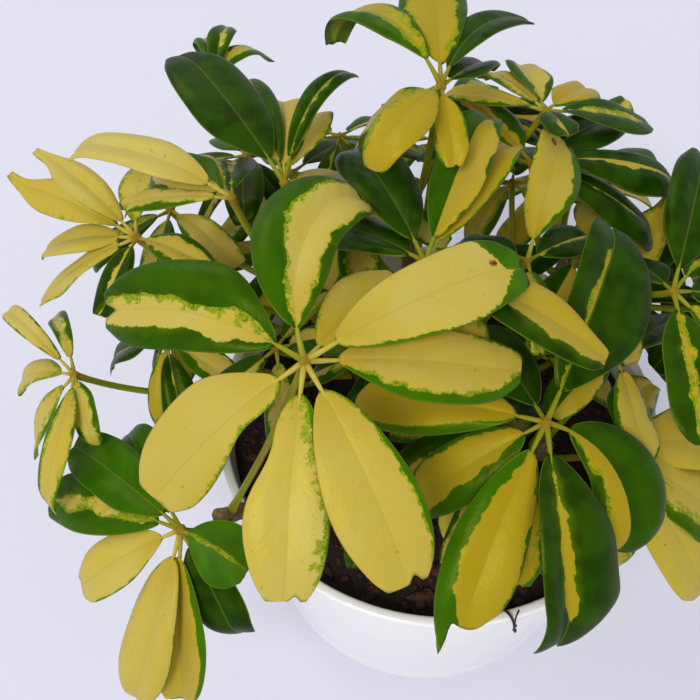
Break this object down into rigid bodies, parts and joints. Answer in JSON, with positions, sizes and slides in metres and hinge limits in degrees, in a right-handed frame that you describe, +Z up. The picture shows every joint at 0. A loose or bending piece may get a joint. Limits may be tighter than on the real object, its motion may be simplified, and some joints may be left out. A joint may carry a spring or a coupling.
{
  "type": "potted umbrella plant",
  "caption": "Low bushy variegated dwarf umbrella tree with yellow and green palmate leaves, standing in soil in a round white glazed pot.",
  "frame": {"origin": "centre of the pot's flat underside, on the surface that it stands on", "axes": "+Z up, -Y towards the front of the plant, where its largest leaf faces, +X to the right seen from the front"},
  "size_m": [0.3331, 0.288, 0.269],
  "materials": {
    "pot_glaze": "gloss",
    "potting_soil": "matte",
    "stem_bark": "matte",
    "leaf_blade": "satin"
  },
  "bodies": {
    "root": {"pot": "pot_glaze", "soil": "potting_soil", "stem_left_front": "stem_bark", "stem_left_back": "stem_bark", "stem_middle": "stem_bark", "stem_right_front": "stem_bark", "stem_right_back": "stem_bark", "stem_back": "stem_bark", "umbrella_leaf_01": "leaf_blade", "umbrella_leaf_02": "leaf_blade", "umbrella_leaf_03": "leaf_blade", "umbrella_leaf_04": "leaf_blade", "umbrella_leaf_05": "leaf_blade", "umbrella_leaf_06": "leaf_blade", "umbrella_leaf_07": "leaf_blade", "umbrella_leaf_08": "leaf_blade", "umbrella_leaf_09": "leaf_blade", "umbrella_leaf_10": "leaf_blade", "umbrella_leaf_11": "leaf_blade", "umbrella_leaf_12": "leaf_blade", "umbrella_leaf_13": "leaf_blade", "umbrella_leaf_14": "leaf_blade", "umbrella_leaf_15": "leaf_blade", "umbrella_leaf_16": "leaf_blade", "umbrella_leaf_17": "leaf_blade", "umbrella_leaf_18": "leaf_blade", "umbrella_leaf_19": "leaf_blade", "umbrella_leaf_20": "leaf_blade", "umbrella_leaf_21": "leaf_blade", "umbrella_leaf_22": "leaf_blade", "umbrella_leaf_23": "leaf_blade", "umbrella_leaf_24": "leaf_blade", "umbrella_leaf_25": "leaf_blade", "umbrella_leaf_26": "leaf_blade", "umbrella_leaf_27": "leaf_blade", "umbrella_leaf_28": "leaf_blade", "umbrella_leaf_29": "leaf_blade", "umbrella_leaf_30": "leaf_blade", "umbrella_leaf_31": "leaf_blade", "umbrella_leaf_32": "leaf_blade", "umbrella_leaf_33": "leaf_blade", "umbrella_leaf_34": "leaf_blade", "umbrella_leaf_35": "leaf_blade", "umbrella_leaf_36": "leaf_blade", "umbrella_leaf_37": "leaf_blade", "umbrella_leaf_38": "leaf_blade", "umbrella_leaf_39": "leaf_blade", "umbrella_leaf_40": "leaf_blade", "umbrella_leaf_41": "leaf_blade"}
  },
  "joints": []
}
